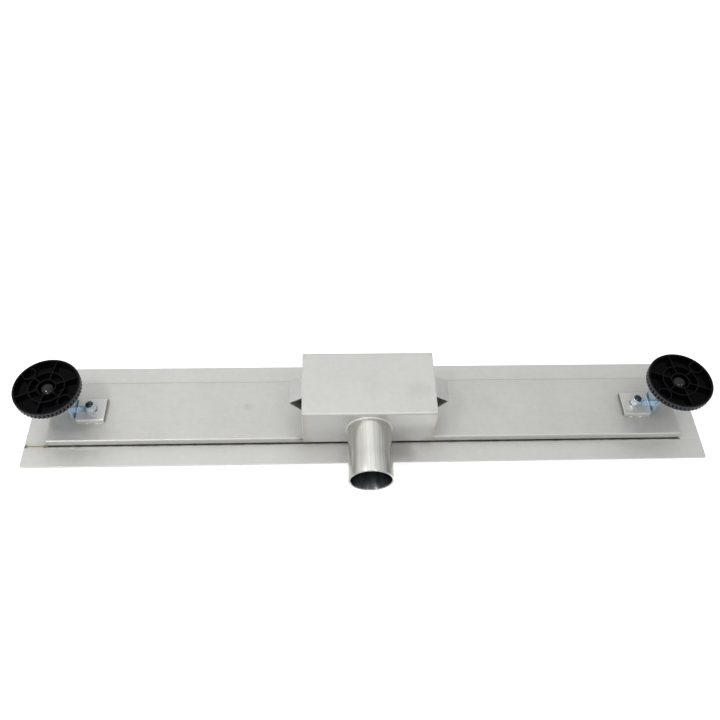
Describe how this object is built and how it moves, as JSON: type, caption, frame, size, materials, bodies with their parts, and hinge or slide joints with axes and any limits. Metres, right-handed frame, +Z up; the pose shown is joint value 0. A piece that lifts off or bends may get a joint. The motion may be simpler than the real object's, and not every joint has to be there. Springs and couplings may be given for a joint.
{
  "type": "channel drain",
  "caption": "Linear floor drain: flanged steel channel with a lift-out cover, water-trap box with a side outlet pipe, anchor lugs and two sliding, screw-adjusted feet.",
  "frame": {"origin": "middle of the trap box's flat underside", "axes": "+X along the channel, -Y towards the outlet pipe's mouth, +Z up towards the cover"},
  "size_m": [0.855, 0.1861, 0.0903],
  "materials": {
    "stainless": "satin pickled stainless steel",
    "zinc_steel": "bright bluish zinc plating",
    "black_plastic": "glossy black moulded plastic",
    "trap_plastic": "plain pale grey moulded plastic",
    "seal_rubber": "matt black rubber"
  },
  "bodies": {
    "drain": {"channel_tray": "stainless", "flange_front": "stainless", "flange_back": "stainless", "flange_end_left": "stainless", "flange_end_right": "stainless", "trap_box": "stainless", "trap_end_left": "stainless", "trap_end_right": "stainless", "outlet_pipe": "stainless", "weir_plate": "stainless", "trap_seal": "seal_rubber", "trap_insert": "trap_plastic", "strainer_cup": "stainless", "cover": "stainless", "anchor_lug_left": "stainless", "anchor_lug_right": "stainless", "saddle_left": "stainless", "saddle_right": "stainless"},
    "bracket_right": {"foot_bracket_right": "zinc_steel", "clamp_bolt_right": "zinc_steel", "lock_nut_right": "zinc_steel"},
    "foot_right": {"foot_stud_right": "zinc_steel", "foot_disc_right": "black_plastic"},
    "lower_nut_right": {"lower_nut_right": "zinc_steel"},
    "upper_nut_right": {"upper_nut_right": "zinc_steel"},
    "bracket_left": {"foot_bracket_left": "zinc_steel", "clamp_bolt_left": "zinc_steel", "lock_nut_left": "zinc_steel"},
    "foot_left": {"foot_stud_left": "zinc_steel", "foot_disc_left": "black_plastic"},
    "lower_nut_left": {"lower_nut_left": "zinc_steel"},
    "upper_nut_left": {"upper_nut_left": "zinc_steel"}
  },
  "joints": [
    {"name": "bracket_slide_right", "type": "slide", "parent": "drain", "child": "bracket_right", "axis": [1, 0, 0], "range_m": [0, 0.009]},
    {"name": "lower_nut_turn_right", "type": "hinge", "parent": "bracket_right", "child": "lower_nut_right", "pos_m": [0.3875, 0, 0.0209], "axis": [0, 0, 1], "range_deg": [0, 2880]},
    {"name": "upper_nut_turn_right", "type": "hinge", "parent": "bracket_right", "child": "upper_nut_right", "pos_m": [0.3875, 0, 0.0315], "axis": [0, 0, 1], "range_deg": [0, 2880]},
    {"name": "foot_slide_right", "type": "slide", "parent": "bracket_right", "child": "foot_right", "axis": [0, 0, -1], "range_m": [0, 0.012]},
    {"name": "bracket_slide_left", "type": "slide", "parent": "drain", "child": "bracket_left", "axis": [-1, 0, 0], "range_m": [0, 0.009]},
    {"name": "lower_nut_turn_left", "type": "hinge", "parent": "bracket_left", "child": "lower_nut_left", "pos_m": [-0.3875, 0, 0.0209], "axis": [0, 0, 1], "range_deg": [0, 2880]},
    {"name": "upper_nut_turn_left", "type": "hinge", "parent": "bracket_left", "child": "upper_nut_left", "pos_m": [-0.3875, 0, 0.0315], "axis": [0, 0, 1], "range_deg": [0, 2880]},
    {"name": "foot_slide_left", "type": "slide", "parent": "bracket_left", "child": "foot_left", "axis": [0, 0, -1], "range_m": [0, 0.012]}
  ],
  "couplings": [
    {"joint": "upper_nut_turn_right", "follows": "foot_slide_right", "rad_per_m": 4188.8},
    {"joint": "lower_nut_turn_right", "follows": "foot_slide_right", "rad_per_m": 4188.8},
    {"joint": "upper_nut_turn_left", "follows": "foot_slide_left", "rad_per_m": 4188.8},
    {"joint": "lower_nut_turn_left", "follows": "foot_slide_left", "rad_per_m": 4188.8}
  ]
}
